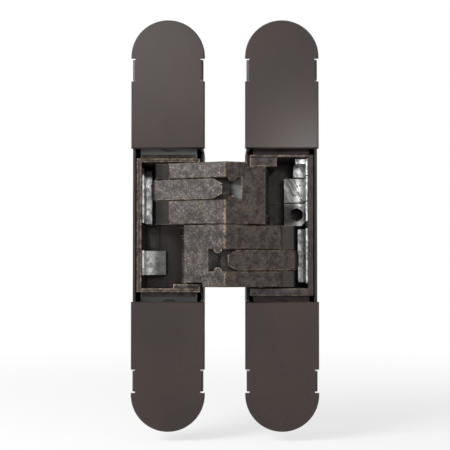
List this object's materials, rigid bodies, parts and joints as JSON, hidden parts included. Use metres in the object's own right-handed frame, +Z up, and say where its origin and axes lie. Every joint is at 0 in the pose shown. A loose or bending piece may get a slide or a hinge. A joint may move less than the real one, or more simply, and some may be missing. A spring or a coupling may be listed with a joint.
{
  "type": "concealed hinge",
  "caption": "Concealed door hinge: slim rounded leaves with clip-on covers, crossing forked arms and link bars that fold into two pockets.",
  "frame": {"origin": "middle of the frame leaf's line of screw holes, on the rear seat of its screw flanges", "axes": "+Z up along the hinge, +Y into the wood behind the leaves, +X from the door leaf to the frame leaf of the open hinge"},
  "size_m": [0.0611, 0.0322, 0.134],
  "materials": {
    "cover_finish": "satin dark bronze brown coating",
    "case_finish": "dark bronze coating on a zinc casting",
    "box_bronze": "antique bronze, worn bright on its edges",
    "arm_bronze": "antique bronze, brushed and speckled, worn bright on its edges",
    "plated_steel": "bright zinc plating with scratches",
    "pin_steel": "ground steel",
    "bearing_plastic": "dark bearing plastic"
  },
  "bodies": {
    "frame_leaf": {"frame_case": "case_finish", "frame_upper_cover": "cover_finish", "frame_lower_cover": "cover_finish", "frame_upper_clamp_screw": "pin_steel", "frame_lower_clamp_screw": "pin_steel"},
    "frame_carrier": {"frame_box": "box_bronze", "frame_adjuster": "plated_steel", "frame_pivot_pin": "pin_steel", "frame_link_pin": "pin_steel", "frame_inner_thrust_washer": "bearing_plastic", "frame_outer_thrust_washer": "bearing_plastic"},
    "upper_arm": {"upper_arm": "arm_bronze", "upper_tip_pin": "pin_steel", "centre_pin": "pin_steel"},
    "upper_link": {"upper_link": "arm_bronze"},
    "lower_arm": {"lower_arm": "arm_bronze", "lower_tip_pin": "pin_steel", "centre_washer": "bearing_plastic"},
    "lower_link": {"lower_link": "arm_bronze"},
    "door_carrier": {"door_box": "box_bronze", "door_adjuster": "plated_steel", "door_pivot_pin": "pin_steel", "door_link_pin": "pin_steel", "door_inner_thrust_washer": "bearing_plastic", "door_outer_thrust_washer": "bearing_plastic"},
    "door_leaf": {"door_case": "case_finish", "door_upper_cover": "cover_finish", "door_lower_cover": "cover_finish", "door_upper_clamp_screw": "pin_steel", "door_lower_clamp_screw": "pin_steel"}
  },
  "joints": [
    {"name": "side_adjust", "type": "slide", "parent": "frame_leaf", "child": "frame_carrier", "axis": [0, 1, 0], "range_m": [-0.001, 0.001]},
    {"name": "fold", "type": "hinge", "parent": "frame_carrier", "child": "upper_arm", "pos_m": [-0.00705, 0.0044, 0], "axis": [0, 0, 1], "range_deg": [0, 85.61]},
    {"name": "arm_cross", "type": "hinge", "parent": "upper_arm", "child": "lower_arm", "pos_m": [-0.01855, -0.0091, 0], "axis": [0, 0, 1], "range_deg": [0, 8.79]},
    {"name": "door_turn", "type": "hinge", "parent": "lower_arm", "child": "door_carrier", "pos_m": [-0.03005, 0.0044, 0], "axis": [0, 0, 1], "range_deg": [0, 85.62]},
    {"name": "upper_link_turn", "type": "hinge", "parent": "upper_arm", "child": "upper_link", "pos_m": [-0.03805, -0.0026, 0], "axis": [0, 0, 1], "range_deg": [-3.37, 0]},
    {"name": "lower_link_turn", "type": "hinge", "parent": "lower_arm", "child": "lower_link", "pos_m": [0.00095, -0.0026, 0], "axis": [0, 0, 1], "range_deg": [0, 3.37]},
    {"name": "height_adjust", "type": "slide", "parent": "door_carrier", "child": "door_leaf", "axis": [0, 0, 1], "range_m": [-0.003, 0.003]}
  ],
  "couplings": [
    {"joint": "arm_cross", "follows": "fold", "ratio": 0.10261},
    {"joint": "door_turn", "follows": "fold", "ratio": 1},
    {"joint": "upper_link_turn", "follows": "fold", "ratio": -0.039249},
    {"joint": "lower_link_turn", "follows": "fold", "ratio": 0.039249}
  ]
}
